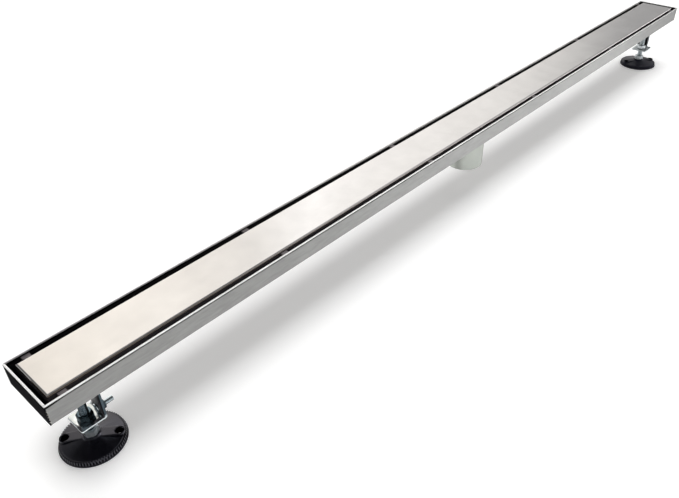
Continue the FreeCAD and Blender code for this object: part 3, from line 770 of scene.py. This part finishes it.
def panScrew(v):
    # a domed head with a tapered cross recess, on a threaded shank, lying along the drain
    top = v["headHeight"]
    r = v["head"]
    dome = [(0, top)] + [(r * share, top - fall) for share, fall in v["dome"]]
    dome += [(r, v["headEase"]), (r - v["headEase"], 0), (0, 0)]
    head = turned(dome[::-1], v["headSteps"])
    for angle in v["recessTurns"]:
        bar = bmesh.new()
        bmesh.ops.create_cube(bar, size=1)
        bmesh.ops.scale(bar, verts=bar.verts, vec=(2 * v["recess"], v["recessWide"], 2 * v["recessDeep"]))
        for w in bar.verts:
            if w.co.z < 0:
                w.co.x *= v["recessTaper"]
        bmesh.ops.translate(bar, verts=bar.verts, vec=(0, 0, top))
        turnAbout(bar, math.radians(angle), "Z")
        head = carve(head, bar, "DIFFERENCE")
    turnAbout(head, -math.pi / 2, "Y")
    bmesh.ops.translate(head, verts=head.verts, vec=(v["start"], 0, 0))
    shank = threaded(v["radius"], v["pitch"], v["start"] - v["overlap"], v["end"], v["chamfer"],
                     v["threadSteps"])
    turnAbout(shank, math.pi / 2, "Y")
    return joined(head, shank)


for side, x in footAxis.items():
    softened(side + "_foot_bracket", bracketZinc[side], "zinc_plate", "channel", bracketEase)
    softened(side + "_tray_tab", channelSteel, "channel_steel", "channel", tabEase)
    setPiece(panScrew(screwSizes), side + "BracketScrew", (x, screwPlace[side], screwSizes["height"]),
             metals["brightZinc"], "zinc_plate", "channel", side + "_bracket_screw")
    nut = hexNut(screwNutSizes)
    turnAbout(nut, math.pi / 2, "Y")
    setPiece(nut, side + "ScrewNut", (x + screwNutFace, screwPlace[side], screwSizes["height"]),
             flangeNutZinc[side], "zinc_plate", "channel", side + "_screw_nut")
print("brackets made")

# cover strips, their wings raised to the height at which the slot shows them
stripSizes = {"count": 6, "wingsFrom": 93.5, "lift": 3.4, "ease": 0.2}
for k in range(stripSizes["count"]):
    softened("cover_strip_" + str(k + 1), metals["formedStainlessInShade"], "strip_steel", "channel",
             stripSizes["ease"], stripSizes["wingsFrom"], stripSizes["lift"])
print("cover strips made")

# weld beads: down the corners of the end caps and round the outlet's neck
weldSizes = {
    "seamInset": 0.9, "seamY": 32.9, "low": 79.9, "high": 97.6, "pitch": 2.9, "bead": 0.76,
    "neck": 24.0, "neckHeight": 76.3, "neckBead": 0.6, "neckBeads": 96,
    "uneven": 0.18, "waver": 2.3, "smooth": 60}


def weldLine(points, bead, v):
    # overlapping drops, one at each point, a little uneven
    drops = []
    for k, at in enumerate(points):
        drop = bmesh.new()
        swell = 1 + v["uneven"] * math.sin(v["waver"] * k)
        bmesh.ops.create_icosphere(drop, subdivisions=2, radius=bead * swell)
        bmesh.ops.translate(drop, verts=drop.verts, vec=at)
        drops.append(drop)
    return joined(*drops)


v = weldSizes
seamHeights = [v["low"] + v["pitch"] * k for k in range(int((v["high"] - v["low"]) / v["pitch"]))]
seamX = halfLength - v["seamInset"]
for side, sign in (("left", -1), ("right", 1)):
    seams = [(sign * seamX, y, height) for y in (-v["seamY"], v["seamY"]) for height in seamHeights]
    setPiece(weldLine(seams, v["bead"], v), side + "CapWeld", (0, 0, 0), metals["weldBead"],
             "channel_steel", "channel", smooth=v["smooth"])
turns = [2 * math.pi * k / v["neckBeads"] for k in range(v["neckBeads"])]
neck = [(v["neck"] * math.cos(a), v["neck"] * math.sin(a), v["neckHeight"]) for a in turns]
setPiece(weldLine(neck, v["neckBead"], v), "outletWeld", (0, 0, 0), metals["weldBead"],
         "channel_steel", "channel", smooth=v["smooth"])
print("weld beads made")

# floor and backdrop, in metres; the floor glows a little, to white, where the camera or a mirror sees it
studio = {
    "floor": "F7F7F7", "floorSize": 14.0, "floorRoughness": 0.9, "floorGlow": 0.23,
    "backdrop": 14.0, "backdropGlow": 1.0}
white = grey(1.0)
floorMaterial, tree = startMaterial("paleFloor")
ray = addNode(tree, "ShaderNodeLightPath").outputs
seen = addNode(tree, "ShaderNodeMath", {
    0: ray["Is Camera Ray"], 1: ray["Is Glossy Ray"]}, operation="MAXIMUM").outputs["Value"]
seen = addNode(tree, "ShaderNodeMath", {
    0: seen, 1: ray["Is Transmission Ray"]}, operation="MAXIMUM").outputs["Value"]
glow = addNode(tree, "ShaderNodeMath", {
    0: seen, 1: studio["floorGlow"]}, operation="MULTIPLY").outputs["Value"]
endMaterial(tree, addNode(tree, "ShaderNodeBsdfPrincipled", {
    "Base Color": linear(studio["floor"]), "Roughness": studio["floorRoughness"], "Specular IOR Level": 0.0,
    "Emission Color": white, "Emission Strength": glow}))
floorMesh = bmesh.new()
bmesh.ops.create_grid(floorMesh, x_segments=1, y_segments=1, size=studio["floorSize"] / 2)
floor = newObject(floorMesh, "studioFloor", floorMaterial)

# a white sphere round everything, seen only by the camera
backdropMaterial, tree = startMaterial("whiteBackdrop")
whiteGlow = addNode(tree, "ShaderNodeEmission", {"Color": white, "Strength": studio["backdropGlow"]})
addNode(tree, "ShaderNodeOutputMaterial", {"Surface": whiteGlow.outputs["Emission"]})
backdropMesh = bmesh.new()
bmesh.ops.create_icosphere(backdropMesh, subdivisions=4, radius=studio["backdrop"])
bmesh.ops.reverse_faces(backdropMesh, faces=backdropMesh.faces)
backdrop = newObject(backdropMesh, "studioBackdrop", backdropMaterial)
backdrop.visible_diffuse = False
backdrop.visible_glossy = False
backdrop.visible_shadow = False

# the studio's light by compass direction, in degrees anticlockwise from the drain's length:
# brightness, and how warm it is
highSky = [
    (-180, 0.15, 0), (-115, 0.12, 0), (-100, 0.3, 0), (-60, 0.3, 0), (-44, 0.72, 0), (-30, 0.85, 0),
    (-20, 0.7, 0), (-8, 0.4, 0), (16, 0.42, 0), (19.5, 0.38, 0), (21, 0.46, 0.1), (23, 0.66, 0.4),
    (26, 0.94, 0.6), (29, 1.06, 0.7), (36, 1.18, 0.7), (43, 1.24, 0.7), (45.5, 1.5, 0.4), (48.5, 1.5, 0.4),
    (50.5, 1.06, 1), (56, 1.06, 1.3), (65, 1.34, 1.5), (72, 1.26, 1.8), (78, 1.1, 2.3), (88, 0.9, 1),
    (98, 0.15, 0), (128, 0.12, 0), (136, 0.45, 0), (150, 0.3, 0), (180, 0.15, 0)]
# near the horizon: a long soft box in front of the right half and another behind
lowSky = [
    (-180, 0.15, 0), (-115, 0.12, 0), (-100, 0.3, 0), (-70, 0.15, 0), (-60, 0.3, 0), (-48, 2.5, 0),
    (-38, 4.0, 0), (-27, 4.0, 0), (-20, 2.6, 0), (-15, 0.7, 0), (-8, 0.3, 0), (16, 0.42, 0),
    (19.5, 0.38, 0), (21, 0.46, 0.1), (23, 0.66, 0.4), (26, 0.94, 0.6), (29, 1.06, 0.7), (36, 1.3, 0.7),
    (43, 1.7, 0.7), (60, 2.0, 0.7), (78, 2.0, 0.7), (88, 1.2, 0), (98, 0.15, 0), (128, 0.12, 0),
    (134, 0.6, 0), (142, 0.6, 0), (150, 0.3, 0), (180, 0.15, 0)]
# by height, as its sine: a brighter band at the top of the compass light, which then ends
skyHeights = [(0.0, 1.3), (0.12, 1.3), (0.22, 1.0), (0.7, 1.0),
              (0.74, 1.35), (0.77, 1.35), (0.82, 0.0), (1.0, 0.0)]
# added to it, by height too: next to nothing, and a dim soft light straight above
overhead = [(0.0, 0.02), (0.84, 0.02), (0.94, 0.25), (1.0, 0.25)]
# a ramp holds values up to 1, so brightness and height gain are stored as parts that the strength makes up for
skyMix = {"strength": 8.0, "compassPart": 0.25, "gainPart": 0.5, "lowTop": 0.12, "lowEnd": 0.24}
warmTint = (0.0, 0.028, 0.072)


def compassColour(level, warmth):
    return tuple(skyMix["compassPart"] * level * (1 - tint * warmth) for tint in warmTint) + (1.0,)


world = bpy.data.worlds.new("studioSky")
world.use_nodes = True
bpy.context.scene.world = world
tree = world.node_tree
tree.nodes.clear()
direction = addNode(tree, "ShaderNodeTexCoord").outputs["Generated"]
axes = addNode(tree, "ShaderNodeSeparateXYZ", {"Vector": direction}).outputs
bearing = addNode(tree, "ShaderNodeMath", {0: axes["Y"], 1: axes["X"]}, operation="ARCTAN2").outputs["Value"]
share = addNode(tree, "ShaderNodeMapRange", {
    "Value": bearing, "From Min": -math.pi, "From Max": math.pi}).outputs["Result"]
low, high = [addNode(tree, "ShaderNodeValToRGB", {"Fac": share}, stops=[
    ((angle + 180) / 360, compassColour(level, warmth)) for angle, level, warmth in sky]).outputs["Color"]
    for sky in (lowSky, highSky)]
raised = addNode(tree, "ShaderNodeMapRange", {
    "Value": axes["Z"], "From Min": skyMix["lowTop"], "From Max": skyMix["lowEnd"]}).outputs["Result"]
around = addNode(tree, "ShaderNodeMix", {
    "Factor": raised, "A": low, "B": high}, data_type="RGBA").outputs["Result"]
gain = addNode(tree, "ShaderNodeValToRGB", {"Fac": axes["Z"]}, stops=[
    (height, grey(skyMix["gainPart"] * level)) for height, level in skyHeights]).outputs["Color"]
lit = addNode(tree, "ShaderNodeVectorMath", {0: around, 1: gain}, operation="MULTIPLY").outputs["Vector"]
above = addNode(tree, "ShaderNodeValToRGB", {"Fac": axes["Z"]}, stops=[
    (height, grey(level / skyMix["strength"])) for height, level in overhead]).outputs["Color"]
lit = addNode(tree, "ShaderNodeVectorMath", {0: lit, 1: above}, operation="ADD").outputs["Vector"]
background = addNode(tree, "ShaderNodeBackground", {"Color": lit, "Strength": skyMix["strength"]})
addNode(tree, "ShaderNodeOutputWorld", {"Surface": background.outputs["Background"]})

# a broad sun straight above, for the long soft shadow
sunlight = {"energy": 1.8, "angle": 32.0, "height": 2.0}
sun = bpy.data.lights.new("softSun", "SUN")
sun.energy = sunlight["energy"]
sun.angle = math.radians(sunlight["angle"])
lampHead = bpy.data.objects.new("softSun", sun)
lampHead.location = (0, 0, sunlight["height"])
lampHead.visible_glossy = False
bpy.context.scene.collection.objects.link(lampHead)

# camera: place in metres, turns in radians, lens and sensor in millimetres
view = {"place": (-0.70425, -0.4346, 0.4958), "yaw": 0.761, "pitch": 0.637, "roll": -0.029,
        "lens": 36.28, "sensor": 36.0, "clip": 0.01}
yaw = view["yaw"]
pitch = view["pitch"]
roll = view["roll"]
ahead = Vector((math.cos(yaw) * math.cos(pitch), math.sin(yaw) * math.cos(pitch), -math.sin(pitch)))
level = Vector((math.sin(yaw), -math.cos(yaw), 0))
upright = level.cross(ahead)
right = math.cos(roll) * level + math.sin(roll) * upright
up = -math.sin(roll) * level + math.cos(roll) * upright
lens = bpy.data.cameras.new("camera")
lens.lens = view["lens"]
lens.sensor_width = view["sensor"]
lens.clip_start = view["clip"]
camera = bpy.data.objects.new("camera", lens)
camera.matrix_world = Matrix.Translation(view["place"]) @ Matrix((right, up, -ahead)).transposed().to_4x4()
bpy.context.scene.collection.objects.link(camera)
bpy.context.scene.camera = camera
bpy.context.scene.view_settings.view_transform = "Standard"
print("studio set")
